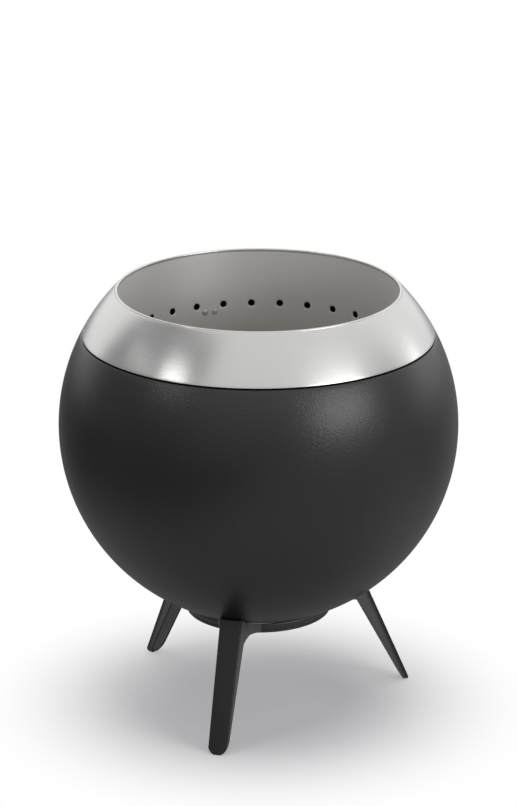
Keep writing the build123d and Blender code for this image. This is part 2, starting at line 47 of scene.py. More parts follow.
# Camera: a long lens that looks down on the brazier from in front and a little to its right, so that
# the front leg stands left of the middle and the far wall of the fire chamber shows inside the mouth.
camera_azimuth = 15.0
camera_elevation = 19.173
camera_pitch = 18.847
camera_distance = 4.0056
camera_aim_height = 0.3301

camera_data = bpy.data.cameras.new("photo_camera")
camera_data.lens = 158.76
camera_data.sensor_width = 36.0
camera = bpy.data.objects.new("photo_camera", camera_data)
bpy.context.scene.collection.objects.link(camera)
bpy.context.scene.camera = camera
level_distance = camera_distance * cos(radians(camera_elevation))
camera.location = (
    level_distance * sin(radians(camera_azimuth)),
    -level_distance * cos(radians(camera_azimuth)),
    camera_aim_height + camera_distance * sin(radians(camera_elevation)),
)
camera.rotation_euler = (radians(90 - camera_pitch), 0, radians(camera_azimuth))


# Studio light: pale surroundings that grow brighter with height, a bright wall behind and one dark
# panel on the left, which all show in the steel. Softboxes left, right, behind and overhead and a strip
# on the left light the brazier, and the camera itself sees plain white behind it.
class Shade:
    """A socket that can be reckoned with like a number: a sum or a product of it adds a Math node."""

    def __init__(self, finish, socket):
        self.finish = finish
        self.socket = socket

    def reckon(self, operation, first, second):
        return self.finish.node("ShaderNodeMath", {"operation": operation}, {0: first, 1: second})

    def __add__(self, other):
        return self.reckon("ADD", self, other)

    __radd__ = __add__

    def __sub__(self, other):
        return self.reckon("SUBTRACT", self, other)

    def __rsub__(self, other):
        return self.reckon("SUBTRACT", other, self)

    def __mul__(self, other):
        return self.reckon("MULTIPLY", self, other)

    __rmul__ = __mul__


class Finish:
    """A tree of shader nodes for one surface of the brazier, its floor or its surroundings."""

    def __init__(self, owner):
        owner.use_nodes = True
        self.owner = owner
        self.tree = owner.node_tree

    def node(self, kind, settings, inputs, output=0):
        """Adds a node: its settings first, then the values or links of its sockets."""
        made = self.tree.nodes.new(kind)
        for name, value in settings.items():
            setattr(made, name, value)
        for name, value in inputs.items():
            self.feed(made.inputs[name], value)
        return Shade(self, made.outputs[output])

    def feed(self, socket, value):
        """Links a shade to a socket, or sets the socket to a plain value."""
        if isinstance(value, Shade):
            self.tree.links.new(value.socket, socket)
        elif socket.type == "RGBA":
            socket.default_value = (*value, 1.0)
        else:
            socket.default_value = value

    def smooth(self, value, start, end):
        """0 below start, 1 above end, and a smooth step between them."""
        inputs = {"Value": value, "From Min": start, "From Max": end}
        return self.node("ShaderNodeMapRange", {"interpolation_type": "SMOOTHSTEP"}, inputs)

    def blend(self, share, first, second):
        """A colour between two colours."""
        inputs = {"Factor": share, 6: first, 7: second}
        return self.node("ShaderNodeMix", {"data_type": "RGBA"}, inputs, output=2)


def direction_from_camera_side(azimuth, elevation):
    """Direction seen from the brazier: azimuth 0 is below the camera, and positive is to the right."""
    side = radians(azimuth + camera_azimuth)
    rise = radians(elevation)
    return Vector((sin(side) * cos(rise), -cos(side) * cos(rise), sin(rise)))


dull_surface_level = 0.62
low_level = 0.50
high_level = 0.98
brightening_rises = (0.20, 0.62)
back_wall_level = 1.15
back_wall_azimuth = 172.0
back_wall_half_width = 68.0
back_wall_fade = 8.0
back_wall_foot_rises = (-0.12, -0.03)
dark_panel_level = 0.34
dark_panel_azimuth = -80.0
dark_panel_half_width = 39.0
dark_panel_fade = 5.0
dark_panel_top_rises = (0.82, 0.92)
softbox_distance = 2.4
overhead_distance = 2.6

world = bpy.data.worlds.new("studio")
bpy.context.scene.world = world
studio = Finish(world)
look = studio.node("ShaderNodeTexCoord", {}, {}, output="Generated")
look_rise = studio.node("ShaderNodeSeparateXYZ", {}, {"Vector": look}, output="Z")
level_look = studio.node("ShaderNodeVectorMath", {"operation": "MULTIPLY"}, {0: look, 1: (1.0, 1.0, 0.0)})
level_look = studio.node("ShaderNodeVectorMath", {"operation": "NORMALIZE"}, {0: level_look})


def looks_towards(azimuth, half_width, fade):
    """1 within the half width of a level direction and 0 beyond it, with a soft border."""
    inputs = {0: level_look, 1: tuple(direction_from_camera_side(azimuth, 0.0))}
    closeness = studio.node("ShaderNodeVectorMath", {"operation": "DOT_PRODUCT"}, inputs, output="Value")
    return studio.smooth(closeness, cos(radians(half_width + fade)), cos(radians(half_width - fade)))


surroundings = low_level + studio.smooth(look_rise, *brightening_rises) * (high_level - low_level)
back_wall = looks_towards(back_wall_azimuth, back_wall_half_width, back_wall_fade)
back_wall = back_wall * studio.smooth(look_rise, *back_wall_foot_rises)
surroundings = surroundings + back_wall * (back_wall_level - surroundings)
dark_panel = looks_towards(dark_panel_azimuth, dark_panel_half_width, dark_panel_fade)
dark_panel = dark_panel * (1 - studio.smooth(look_rise, *dark_panel_top_rises))
surroundings = surroundings + dark_panel * (dark_panel_level - surroundings)
camera_ray = studio.node("ShaderNodeLightPath", {}, {}, output="Is Camera Ray")
glossy_ray = studio.node("ShaderNodeLightPath", {}, {}, output="Is Glossy Ray")
dull_ray = (1 - camera_ray) * (1 - glossy_ray)
strength = camera_ray + glossy_ray * surroundings + dull_ray * dull_surface_level
background = studio.tree.nodes["Background"]
studio.feed(background.inputs["Color"], (1.0, 1.0, 1.0))
studio.feed(background.inputs["Strength"], strength)


def add_softbox(name, azimuth, elevation, distance, width, height, watts):
    """A softbox of this width and height in metres that faces the brazier from one direction."""
    light = bpy.data.lights.new(name, "AREA")
    light.shape = "RECTANGLE"
    light.size = width
    light.size_y = height
    light.energy = watts
    lamp = bpy.data.objects.new(name, light)
    bpy.context.scene.collection.objects.link(lamp)
    back = direction_from_camera_side(azimuth, elevation)
    lamp.location = Vector((0, 0, camera_aim_height)) + back * distance
    lamp.rotation_euler = back.to_track_quat("Z", "Y").to_euler()
    return lamp


add_softbox("left_softbox", -58.0, 32.0, softbox_distance, width=0.6, height=0.4, watts=3.2)
add_softbox("left_strip", -88.0, 30.0, softbox_distance, width=0.9, height=0.25, watts=0.6)
add_softbox("right_softbox", 50.0, 20.0, softbox_distance, width=1.3, height=0.7, watts=14.0)
add_softbox("back_softbox", 116.0, 12.0, softbox_distance, width=0.45, height=0.4, watts=0.75)
overhead = add_softbox("overhead_softbox", 0.0, 90.0, overhead_distance, width=1.5, height=1.5, watts=19.0)
overhead.visible_glossy = False


# Floor: a wide pale sheet under the brazier. It keeps the soft shadow, and further out the camera sees
# it go over to white, so that it runs into the white behind it. The steel and the enamel reflect it as
# a glow at a level of its own, with painted shade: dim near the brazier and darker on the left and behind.
floor_reach = 6.0
floor_colour = (0.80, 0.79, 0.815)
floor_glow = 0.03
shadow_shift = 0.025
shadow_reach = 0.085
white_reach = 0.335
reflected_shadow_level = 0.23
reflected_far_level = 0.55
reflected_far_reach = 0.55
darker_left_azimuth = -80.0
darker_left_reaches = (0.05, 0.85)
darker_left_share = 0.6
darker_back_azimuth = 180.0
darker_back_reaches = (-0.15, 0.30)
darker_back_share = 0.42
white = (1.0, 1.0, 1.0)

bpy.ops.object.select_all(action="DESELECT")
bpy.ops.mesh.primitive_plane_add(size=2 * floor_reach, location=(0, 0, 0))
floor = bpy.context.object
floor.name = "floor"
floor_finish = Finish(bpy.data.materials.new("floor"))
floor_finish.tree.nodes.remove(floor_finish.tree.nodes["Principled BSDF"])
spot = floor_finish.node("ShaderNodeTexCoord", {}, {}, output="Object")
spot_reach = floor_finish.node("ShaderNodeVectorMath", {"operation": "LENGTH"}, {0: spot}, output="Value")
shadow_middle = tuple(direction_from_camera_side(0.0, 0.0) * shadow_shift)
shadow_distance = floor_finish.node(
    "ShaderNodeVectorMath", {"operation": "DISTANCE"}, {0: spot, 1: shadow_middle}, output="Value"
)
camera_ray = floor_finish.node("ShaderNodeLightPath", {}, {}, output="Is Camera Ray")
glossy_ray = floor_finish.node("ShaderNodeLightPath", {}, {}, output="Is Glossy Ray")
sheet = floor_finish.node("ShaderNodeBsdfDiffuse", {}, {"Color": floor_colour})
glow = floor_finish.node("ShaderNodeEmission", {}, {"Color": white, "Strength": camera_ray * floor_glow})
lit_sheet = floor_finish.node("ShaderNodeAddShader", {}, {0: sheet, 1: glow})


def reach_towards(azimuth):
    """How far a spot on the floor lies from the axis in one level direction."""
    inputs = {0: spot, 1: tuple(direction_from_camera_side(azimuth, 0.0))}
    return floor_finish.node("ShaderNodeVectorMath", {"operation": "DOT_PRODUCT"}, inputs, output="Value")


# Painted shadow in reflections: the glow that steel and enamel see is dim near the brazier and rises
# outwards.
reflected_share = floor_finish.smooth(spot_reach, 0.0, reflected_far_reach)
reflected_level = reflected_shadow_level + reflected_share * (reflected_far_level - reflected_shadow_level)
left_side = floor_finish.smooth(reach_towards(darker_left_azimuth), *darker_left_reaches)
back_side = floor_finish.smooth(reach_towards(darker_back_azimuth), *darker_back_reaches)
reflected_level = reflected_level * (1 - darker_left_share * left_side) * (1 - darker_back_share * back_side)
white_strength = camera_ray + glossy_ray * reflected_level
white_sheet = floor_finish.node("ShaderNodeEmission", {}, {"Color": white, "Strength": white_strength})
seen_white = floor_finish.smooth(shadow_distance, shadow_reach, white_reach)
whiteness = glossy_ray + camera_ray * seen_white
faded_sheet = floor_finish.node("ShaderNodeMixShader", {}, {0: whiteness, 1: lit_sheet, 2: white_sheet})
floor_finish.feed(floor_finish.tree.nodes["Material Output"].inputs["Surface"], faded_sheet)
floor.data.materials.append(floor_finish.owner)


# Bowl: a ball pressed from sheet steel and enamelled matt black, open below for air and open above,
# where its edge turns in to a level ledge that carries the rim.
def new_finish(name, **constants):
    """A material for one finish, with the values that are the same all over it."""
    finish = Finish(bpy.data.materials.new(name))
    shader = finish.tree.nodes["Principled BSDF"]
    for socket, value in constants.items():
        finish.feed(shader.inputs[socket.replace("_", " ")], value)
    return finish, shader


def object_place(finish, scale=(1.0, 1.0, 1.0)):
    """The place on the piece in metres, drawn out or squeezed along X, Y and Z."""
    place = finish.node("ShaderNodeTexCoord", {}, {}, output="Object")
    return finish.node("ShaderNodeMapping", {}, {"Vector": place, "Scale": scale})


def clouds(finish, per_metre=1.0, detail=4.0, place=None):
    """Soft cloudy unevenness from 0 to 1, with so many clouds to the metre before the place is squeezed."""
    place = place or object_place(finish)
    inputs = {"Vector": place, "Scale": per_metre, "Detail": detail, "Roughness": 0.55}
    return finish.node("ShaderNodeTexNoise", {}, inputs, output="Fac")


def height_of(finish):
    """The height on the piece in metres."""
    return finish.node("ShaderNodeSeparateXYZ", {}, {"Vector": object_place(finish)}, output="Z")


def reach_of(finish):
    """The distance from the upright axis in metres."""
    level_place = object_place(finish, scale=(1.0, 1.0, 0.0))
    return finish.node("ShaderNodeVectorMath", {"operation": "LENGTH"}, {0: level_place}, output="Value")


def raise_surface(finish, shader, height, depth):
    """Bumps the surface by a pattern of this depth in metres."""
    bump = finish.node("ShaderNodeBump", {}, {"Height": height, "Distance": depth, "Strength": 1.0})
    finish.feed(shader.inputs["Normal"], bump)


def turn_piece(name, outline, sides=160, closed=True):
    """A turned piece: a circle at the outline's first reach and height, drawn out ring by ring."""
    if closed:
        outline = outline + [outline[0]]
    bpy.ops.object.select_all(action="DESELECT")
    reach, height = outline[0]
    bpy.ops.mesh.primitive_circle_add(vertices=sides, radius=reach, location=(0, 0, height))
    piece = bpy.context.object
    piece.name = name
    bpy.ops.object.transform_apply()
    bpy.ops.object.mode_set(mode="EDIT")
    bpy.ops.mesh.select_mode(type="VERT")
    bpy.ops.mesh.select_all(action="SELECT")
    for next_reach, next_height in outline[1:]:
        bpy.ops.mesh.extrude_region_move(TRANSFORM_OT_translate={"value": (0, 0, next_height - height)})
        if next_reach == 0.0:
            bpy.ops.mesh.merge(type="CENTER")
        elif next_reach != reach:
            share = next_reach / reach
            bpy.ops.transform.resize(value=(share, share, 1), center_override=(0, 0, 0))
        reach, height = next_reach, next_height
    bpy.ops.mesh.select_all(action="SELECT")
    bpy.ops.mesh.remove_doubles(threshold=0.00001)
    bpy.ops.mesh.normals_make_consistent(inside=False)
    bpy.ops.object.mode_set(mode="OBJECT")
    return piece


def apply_modifier(piece, kind, **settings):
    """Adds a modifier to the piece and applies it at once."""
    modifier = piece.modifiers.new(kind.lower(), kind)
    for setting, value in settings.items():
        setattr(modifier, setting, value)
    bpy.context.view_layer.objects.active = piece
    bpy.ops.object.modifier_apply(modifier=modifier.name)


def round_edges(piece, width, steps=2, sharpest=30.0, smooth=40.0):
    """Rounds every edge that turns by more than the sharpest angle, and shades the rest smooth."""
    settings = {"width": width, "segments": steps, "limit_method": "ANGLE", "angle_limit": radians(sharpest)}
    apply_modifier(piece, "BEVEL", **settings)
    bpy.ops.object.select_all(action="DESELECT")
    piece.select_set(True)
    bpy.ops.object.shade_smooth_by_angle(angle=radians(smooth))


def arc_point(centre, radius, angle):
    """A point on an arc in a turned outline, at an angle in degrees up from level."""
    return (centre[0] + radius * cos(radians(angle)), centre[1] + radius * sin(radians(angle)))


def arc(centre, radius, start, end, steps):
    """Points on an arc in a turned outline, between two angles in degrees up from level."""
    return [arc_point(centre, radius, start + (end - start) * step / steps) for step in range(steps + 1)]


def ball_arc(radius, start, end, steps):
    """Points on a ball about the bowl's centre, between two angles in degrees up from level."""
    return arc((0, bowl_centre), radius, start, end, steps)


def angle_at_height(radius, height):
    """Angle up from level, on a ball about the bowl's centre, at which it has this height."""
    return degrees(asin((height - bowl_centre) / radius))


def angle_at_reach(radius, reach):
    """Angle up from level, on the ball's lower half, at which it has this reach."""
    return -degrees(acos(reach / radius))


def finish_piece(piece, finish, body, slot, *nodes):
    """Gives a piece its finish and the body that it moves with, and lets it stand for its CAD nodes."""
    piece.data.materials.clear()
    piece.data.materials.append(finish.owner)
    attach(piece, body)
    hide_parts(*nodes)


bowl_low, bowl_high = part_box("bowl_shell")
bowl_radius = bowl_high.x
bowl_wall = 0.0015
bowl_top = bowl_high.z
inlet_reach = 0.072
ledge_width = 0.014
ledge_edge = 0.0005
ball_steps = 72
enamel_black = (0.0035, 0.0035, 0.0038)
enamel_grey = (0.006, 0.006, 0.0065)
enamel_roughness = 0.29
speckle_depth = 0.00018
bowl_centre = bowl_low.z + sqrt(bowl_radius**2 - inlet_reach**2)
bowl_inside = bowl_radius - bowl_wall
outer_end = angle_at_height(bowl_radius, bowl_top)
inner_end = angle_at_height(bowl_inside, bowl_top - bowl_wall)
ledge_reach = bowl_radius * cos(radians(outer_end)) - ledge_width

outline = ball_arc(bowl_radius, angle_at_reach(bowl_radius, inlet_reach), outer_end, ball_steps)
outline += [(ledge_reach, bowl_top), (ledge_reach, bowl_top - bowl_wall)]
outline += ball_arc(bowl_inside, inner_end, angle_at_reach(bowl_inside, inlet_reach), ball_steps)
bowl = turn_piece("enamelled_bowl", outline)
round_edges(bowl, ledge_edge, steps=3)

enamel, shader = new_finish("matt_black_enamel", Specular_IOR_Level=0.6)
mottle = clouds(enamel, per_metre=9.0)
speckle = clouds(enamel, per_metre=450.0, detail=2.0)
grain = clouds(enamel, per_metre=1100.0, detail=1.0)
enamel.feed(shader.inputs["Roughness"], enamel_roughness + mottle * 0.05 + speckle * 0.07)
enamel.feed(shader.inputs["Base Color"], enamel.blend(mottle, enamel_black, enamel_grey))
raise_surface(enamel, shader, speckle + grain * 0.3, speckle_depth)
finish_piece(bowl, enamel, "stand_and_bowl", "enamel", "bowl_shell")


# Base ring: a turned steel ring under the bowl, coated black, with a groove above its lower lip.
# It is welded on round the air inlet, and the legs' arms end against it.
ring_low, ring_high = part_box("base_ring")
ring_reach = ring_high.x
ring_taper = 0.003
ring_wall = 0.008
ring_side = 0.0096
ring_lip = 0.0022
ring_shoulder = 0.001
groove_depth = 0.001
flange_width = 0.016
flange_thickness = 0.003
weld_gap = 0.0003
ring_edge = 0.00015
rubbed_height = 0.0004
ring_black = (0.022, 0.022, 0.0225)
ring_grey = (0.034, 0.034, 0.0345)
rubbed_grey = (0.07, 0.07, 0.07)
ring_roughness = 0.33
peel_depth = 0.00005

ring_foot = ring_reach - ring_taper
ring_seat = bowl_radius + weld_gap
lip_top = ring_low.z + ring_lip
groove_top = lip_top + 2 * groove_depth
flange_top = ring_low.z + flange_thickness
side_reach = ring_foot + ring_taper * (groove_top - ring_low.z) / ring_side
outline = [(ring_foot - flange_width, ring_low.z), (ring_foot, ring_low.z), (ring_foot, lip_top)]
outline += [(ring_foot - groove_depth, lip_top + groove_depth / 2)]
outline += [(ring_foot - groove_depth, groove_top - groove_depth / 2)]
outline += [(side_reach, groove_top), (ring_reach, ring_low.z + ring_side)]
shoulder_angle = angle_at_reach(ring_seat, ring_reach - ring_shoulder)
outline += ball_arc(ring_seat, shoulder_angle, angle_at_reach(ring_seat, ring_reach - ring_wall), steps=8)
outline += [(ring_reach - ring_wall, flange_top), (ring_foot - flange_width, flange_top)]
ring = turn_piece("turned_base_ring", outline)
round_edges(ring, ring_edge)

ring_coat, shader = new_finish("black_ring_coat", Specular_IOR_Level=0.5)
peel = clouds(ring_coat, per_metre=700.0, detail=2.0)
turning = clouds(ring_coat, place=object_place(ring_coat, scale=(8.0, 8.0, 2400.0)))
rubbed = ring_coat.smooth(height_of(ring_coat), ring_low.z + rubbed_height, ring_low.z) * peel
ring_colour = ring_coat.blend(turning, ring_black, ring_grey)
ring_coat.feed(shader.inputs["Base Color"], ring_coat.blend(rubbed, ring_colour, rubbed_grey))
ring_coat.feed(shader.inputs["Roughness"], ring_roughness + peel * 0.10 + turning * 0.05)
raise_surface(ring_coat, shader, peel + turning * 0.2, peel_depth)
finish_piece(ring, ring_coat, "stand_and_bowl", "black_coat", "base_ring")


# Legs: three aluminium castings, powder-coated black. Each has a tapered blade, with a shallow groove
# round its inner face, and an arm that is screwed up against the bowl and flares out at the base ring.
# Behind the outer face the black is painted paler, as painted light on the sides and the inner face.
def softened_copy(node_name, name, width, smooth=35.0):
    """A copy of a CAD piece with its loose triangles merged and its sharp edges rounded."""
    bpy.ops.object.select_all(action="DESELECT")
    piece = bpy.data.objects.new(name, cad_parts[node_name].data.copy())
    bpy.context.scene.collection.objects.link(piece)
    bpy.context.view_layer.objects.active = piece
    piece.select_set(True)
    bpy.ops.mesh.customdata_custom_splitnormals_clear()
    bpy.ops.object.mode_set(mode="EDIT")
    bpy.ops.mesh.select_all(action="SELECT")
    bpy.ops.mesh.remove_doubles(threshold=0.00002)
    bpy.ops.mesh.dissolve_limited(angle_limit=radians(0.5))
    bpy.ops.object.mode_set(mode="OBJECT")
    round_edges(piece, width, steps=3, sharpest=smooth, smooth=smooth)
    return piece


leg_edge = 0.0006
leg_foot_reach = 0.1805
leg_slope = 0.432
painted_side_light_start = 0.0005
painted_side_light_end = 0.008
sole_wear = 0.0012
coat_black = (0.0035, 0.0035, 0.0037)
coat_grey = (0.0065, 0.0065, 0.0068)
painted_side_light_grey = (0.078, 0.078, 0.079)
worn_sole_grey = (0.09, 0.09, 0.088)
coat_roughness = 0.36
cast_grain_depth = 0.00008

cast_coat, shader = new_finish("powder_coated_casting", Specular_IOR_Level=0.4)
cast_grain = clouds(cast_coat, per_metre=800.0, detail=3.0)
cast_mottle = clouds(cast_coat, per_metre=60.0)
scuffs = clouds(cast_coat, place=object_place(cast_coat, scale=(500.0, 500.0, 60.0)))
leg_height = height_of(cast_coat)
leg_reach = reach_of(cast_coat)
sole = (1 - cast_coat.smooth(leg_height, 0.0, sole_wear)) * cast_coat.smooth(scuffs, start=0.35, end=0.6)
# Painted light: the sides and inner face are painted paler the further they lie behind the outer face.
depth_behind_face = leg_foot_reach - leg_height * leg_slope - leg_reach
painted_side_light = cast_coat.smooth(depth_behind_face, painted_side_light_start, painted_side_light_end)
cast_colour = cast_coat.blend(cast_mottle, coat_black, coat_grey)
cast_colour = cast_coat.blend(painted_side_light, cast_colour, painted_side_light_grey)
cast_coat.feed(shader.inputs["Base Color"], cast_coat.blend(sole, cast_colour, worn_sole_grey))
cast_coat.feed(shader.inputs["Roughness"], coat_roughness + cast_grain * 0.12 + sole * 0.2)
raise_surface(cast_coat, shader, cast_grain + cast_mottle * 0.4, cast_grain_depth)
for number in (1, 2, 3):
    leg = softened_copy(f"leg_{number}", f"cast_leg_{number}", leg_edge)
    finish_piece(leg, cast_coat, "stand_and_bowl", "cast_coat", f"leg_{number}")


# Leg screws and washers: six button-head screws of plain steel, two to a leg, put in from inside the
# bowl through thick turned washers. Each head has a dome and a hexagon socket.
leg_azimuths = (-90.0, 30.0, 150.0)
screw_reaches = (0.092, 0.110)
washer_thickness = 0.0016
washer_radius = 0.0064
screw_radius = 0.003
screw_hole_radius = 0.0033
screw_length = 0.012
head_radius = 0.00525
head_height = 0.0033
socket_half_width = 0.002
socket_depth = 0.002
screw_dome = ((0.75, 0.0), (0.92, 0.25), (1.0, 0.6))
screw_edge = 0.0002
screw_grey = (0.45, 0.45, 0.44)
screw_roughness = 0.28
dull_spot_share = 0.7
turned_lines = 1600.0
turned_depth = 0.00001

washer_seat = bowl_inside - weld_gap
head_seat = washer_seat - washer_thickness
head_top = head_seat - head_height


def stand_on(place, z_axis):
    """Matrix that sets a small piece's own axis along a direction, with its origin at a place."""
    z_axis = Vector(z_axis).normalized()
    x_axis = Vector((0, 0, 1)).cross(z_axis).normalized()
    turned = Matrix((x_axis, z_axis.cross(x_axis), z_axis)).transposed().to_4x4()
    return Matrix.Translation(place) @ turned


def set_out(model, name, places):
    """Copies a small piece to each place, joins the copies and drops the model."""
    copies = []
    for place in places:
        piece = bpy.data.objects.new(name, model.data.copy())
        piece.data.transform(place)
        bpy.context.scene.collection.objects.link(piece)
        copies.append(piece)
    bpy.data.objects.remove(model)
    bpy.ops.object.select_all(action="DESELECT")
    for piece in copies:
        piece.select_set(True)
    bpy.context.view_layer.objects.active = copies[0]
    bpy.ops.object.join()
    copies[0].name = name
    return copies[0]


def close_ends(piece):
    """Puts a face across each open end of a turned piece."""
    bpy.context.view_layer.objects.active = piece
    bpy.ops.object.mode_set(mode="EDIT")
    bpy.ops.mesh.select_all(action="SELECT")
    bpy.ops.mesh.fill_holes(sides=0)
    bpy.ops.mesh.normals_make_consistent(inside=False)
    bpy.ops.object.mode_set(mode="OBJECT")


screw_places = []
for azimuth in leg_azimuths:
    for reach in screw_reaches:
        polar = asin(reach / bowl_radius)
        level = Vector((cos(radians(azimuth)), sin(radians(azimuth)), 0))
        normal = level * sin(polar) - Vector((0, 0, cos(polar)))
        screw_places.append(stand_on((0, 0, bowl_centre), normal))

outline = [(head_radius * width, head_top + head_height * drop) for width, drop in screw_dome]
outline += [(head_radius, head_seat), (screw_radius, head_seat), (screw_radius, bowl_radius + screw_length)]
screw = turn_piece("screw_model", outline, sides=32, closed=False)
close_ends(screw)
bpy.ops.object.select_all(action="DESELECT")
bpy.ops.mesh.primitive_cylinder_add(
    vertices=6,
    radius=socket_half_width / cos(radians(30)),
    depth=2 * socket_depth,
    location=(0, 0, head_top),
)
socket_cutter = bpy.context.object
apply_modifier(screw, "BOOLEAN", object=socket_cutter, operation="DIFFERENCE", solver="EXACT")
bpy.data.objects.remove(socket_cutter)
round_edges(screw, screw_edge)
screws = set_out(screw, "leg_screw_set", screw_places)

outline = [(screw_hole_radius, head_seat), (washer_radius, head_seat)]
outline += [(washer_radius, washer_seat), (screw_hole_radius, washer_seat)]
washer = turn_piece("washer_model", outline, sides=32)
round_edges(washer, screw_edge)
washers = set_out(washer, "leg_washer_set", screw_places)


def small_steel(name, colour, roughness, metallic=1.0):
    """Plain steel of screws, washers and rivets, with fine turning lines and dull spots."""
    finish, shader = new_finish(name, Metallic=metallic)
    dull_spots = clouds(finish, per_metre=400.0)
    lines = clouds(finish, place=object_place(finish, scale=(turned_lines, turned_lines, 200.0)))
    darker = tuple(part * dull_spot_share for part in colour)
    finish.feed(shader.inputs["Base Color"], finish.blend(dull_spots, darker, colour))
    finish.feed(shader.inputs["Roughness"], roughness + dull_spots * 0.15)
    raise_surface(finish, shader, lines, turned_depth)
    return finish


screw_steel = small_steel("screw_steel", screw_grey, screw_roughness)
finish_piece(screws, screw_steel, "stand_and_bowl", "screw_steel", "leg_screws")
finish_piece(washers, screw_steel, "stand_and_bowl", "screw_steel", "leg_washers")


# Heat shield: a dished plate of aluminised sheet steel over the air inlet, on three bent tabs that
# stand on the bowl's inside. It has the sheet's fine spangle and the brown of heat.
spangle_fineness = 260.0
spangle_pale = (0.44, 0.44, 0.43)
spangle_grey = (0.34, 0.34, 0.335)
heat_brown = (0.20, 0.175, 0.15)
spangle_roughness = 0.36
spangle_depth = 0.00003


def aluminised_sheet(name, dulling):
    """Aluminised sheet steel: small crystals of differing shine, dulled and tinted by heat."""
    finish, shader = new_finish(name, Metallic=0.9)
    inputs = {"Vector": object_place(finish), "Scale": spangle_fineness}
    crystals = finish.node("ShaderNodeTexVoronoi", {"feature": "F1"}, inputs, output="Distance")
    heat = finish.smooth(clouds(finish, per_metre=16.0), start=0.35, end=0.75)
    sheet_colour = finish.blend(crystals, spangle_pale, spangle_grey)
    finish.feed(shader.inputs["Base Color"], finish.blend(heat * dulling, sheet_colour, heat_brown))
    finish.feed(shader.inputs["Roughness"], spangle_roughness + crystals * 0.12 + heat * 0.15)
    raise_surface(finish, shader, crystals, spangle_depth)
    return finish


def give_finish(node_name, finish):
    """Gives a CAD piece a finish."""
    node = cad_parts[node_name]
    node.data.materials.clear()
    node.data.materials.append(finish.owner)


shield_steel = aluminised_sheet("heat_shield_sheet", 0.8)
give_finish("heat_shield", shield_steel)


# Seam gasket: a flat ring woven from black glass yarn, loose on the bowl's ledge, which carries the rim
# and closes the seam.
gasket_low, gasket_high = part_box("seam_gasket")
gasket_play = 0.001
gasket_edge = 0.0005
yarn_pitch = 0.0022
yarn_black = (0.006, 0.006, 0.006)
yarn_grey = (0.022, 0.022, 0.022)
yarn_roughness = 0.75
yarn_depth = 0.0003

outline = [(ledge_reach + gasket_play, gasket_low.z), (gasket_high.x, gasket_low.z)]
outline += [(gasket_high.x, gasket_high.z), (ledge_reach + gasket_play, gasket_high.z)]
gasket = turn_piece("woven_gasket", outline)
round_edges(gasket, gasket_edge, steps=3)

yarn, shader = new_finish("black_glass_weave", Specular_IOR_Level=0.3)
along_x = yarn.node("ShaderNodeSeparateXYZ", {}, {"Vector": object_place(yarn)}, output="X")
along_y = yarn.node("ShaderNodeSeparateXYZ", {}, {"Vector": object_place(yarn)}, output="Y")
azimuth = yarn.node("ShaderNodeMath", {"operation": "ARCTAN2"}, {0: along_y, 1: along_x})
yarn_count = round(2 * pi * gasket_high.x / yarn_pitch)
weft = yarn.node("ShaderNodeMath", {"operation": "SINE"}, {0: azimuth * yarn_count})
warp = yarn.node("ShaderNodeMath", {"operation": "SINE"}, {0: reach_of(yarn) * (2 * pi / yarn_pitch)})
weave = weft * warp * 0.5 + 0.5
yarn.feed(shader.inputs["Base Color"], yarn.blend(weave, yarn_black, yarn_grey))
yarn.feed(shader.inputs["Roughness"], yarn_roughness + weave * 0.15)
raise_surface(yarn, shader, weave, yarn_depth)
finish_piece(gasket, yarn, "stand_and_bowl", "gasket", "seam_gasket")


# Rim: a stainless band on the same ball as the bowl, from the seam up to the rolled lip of the fire
# chamber, where its edge is drawn down thin against the lip. It is brushed round the axis on the lathe.
rim_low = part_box("rim_ring")[0]
wall_low, wall_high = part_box("chamber_wall")
sheet_wall = 0.0012
lip_radius = 0.0015
rim_gap = 0.0001
rim_edge = 0.0001
thin_edge_thickness = 0.0003
thin_edge_setback = 0.0009
rim_steps = 20
rim_grey = (0.564, 0.564, 0.5593)
rim_pale = (0.60, 0.60, 0.595)
rim_roughness = 0.29
brush_lines = (6.0, 6.0, 2600.0)
brush_smear = 0.5
brush_depth = 0.00001

rim_inside = bowl_radius - sheet_wall
lip_reach = wall_high.x - lip_radius
lip_height = wall_high.z - lip_radius
lip_angle = degrees(atan2(lip_height - bowl_centre, lip_reach))
rim_end = lip_angle - degrees(asin((lip_radius + rim_gap) / (bowl_radius - lip_radius)))
thin_edge_end = lip_angle - degrees(asin(thin_edge_setback / bowl_radius))
thin_edge_foot = thin_edge_end - degrees(rim_gap / bowl_radius)
outline = ball_arc(bowl_radius, angle_at_height(bowl_radius, rim_low.z), thin_edge_end, rim_steps)
outline += [arc_point((0, bowl_centre), bowl_radius - thin_edge_thickness, thin_edge_foot)]
outline += ball_arc(rim_inside, rim_end, angle_at_height(rim_inside, rim_low.z), rim_steps)
rim = turn_piece("brushed_rim", outline, sides=200)
round_edges(rim, rim_edge, steps=3)

brushed = {"Metallic": 1.0, "Anisotropic": brush_smear, "Anisotropic_Rotation": 0.25}
rim_steel, shader = new_finish("satin_brushed_steel", **brushed)
strokes = clouds(rim_steel, detail=3.0, place=object_place(rim_steel, scale=brush_lines))
patches = clouds(rim_steel, per_metre=14.0)
rim_steel.feed(shader.inputs["Base Color"], rim_steel.blend(strokes, rim_grey, rim_pale))
rim_steel.feed(shader.inputs["Roughness"], rim_roughness + (strokes - 0.5) * 0.10 + (patches - 0.5) * 0.06)
raise_surface(rim_steel, shader, strokes, brush_depth)
finish_piece(rim, rim_steel, "rim_and_chamber", "satin_stainless", "rim_ring")


# Seat ring: stainless sheet, welded inside the rim's lower edge. Its flange rests on the gasket, and
# its spigot drops inside the bowl's ledge to centre the rim. Faint roll lines and handling marks show.
sheet_grey = (0.51, 0.51, 0.5015)
sheet_pale = (0.60, 0.60, 0.59)
sheet_roughness = 0.26
roll_depth = 0.00001

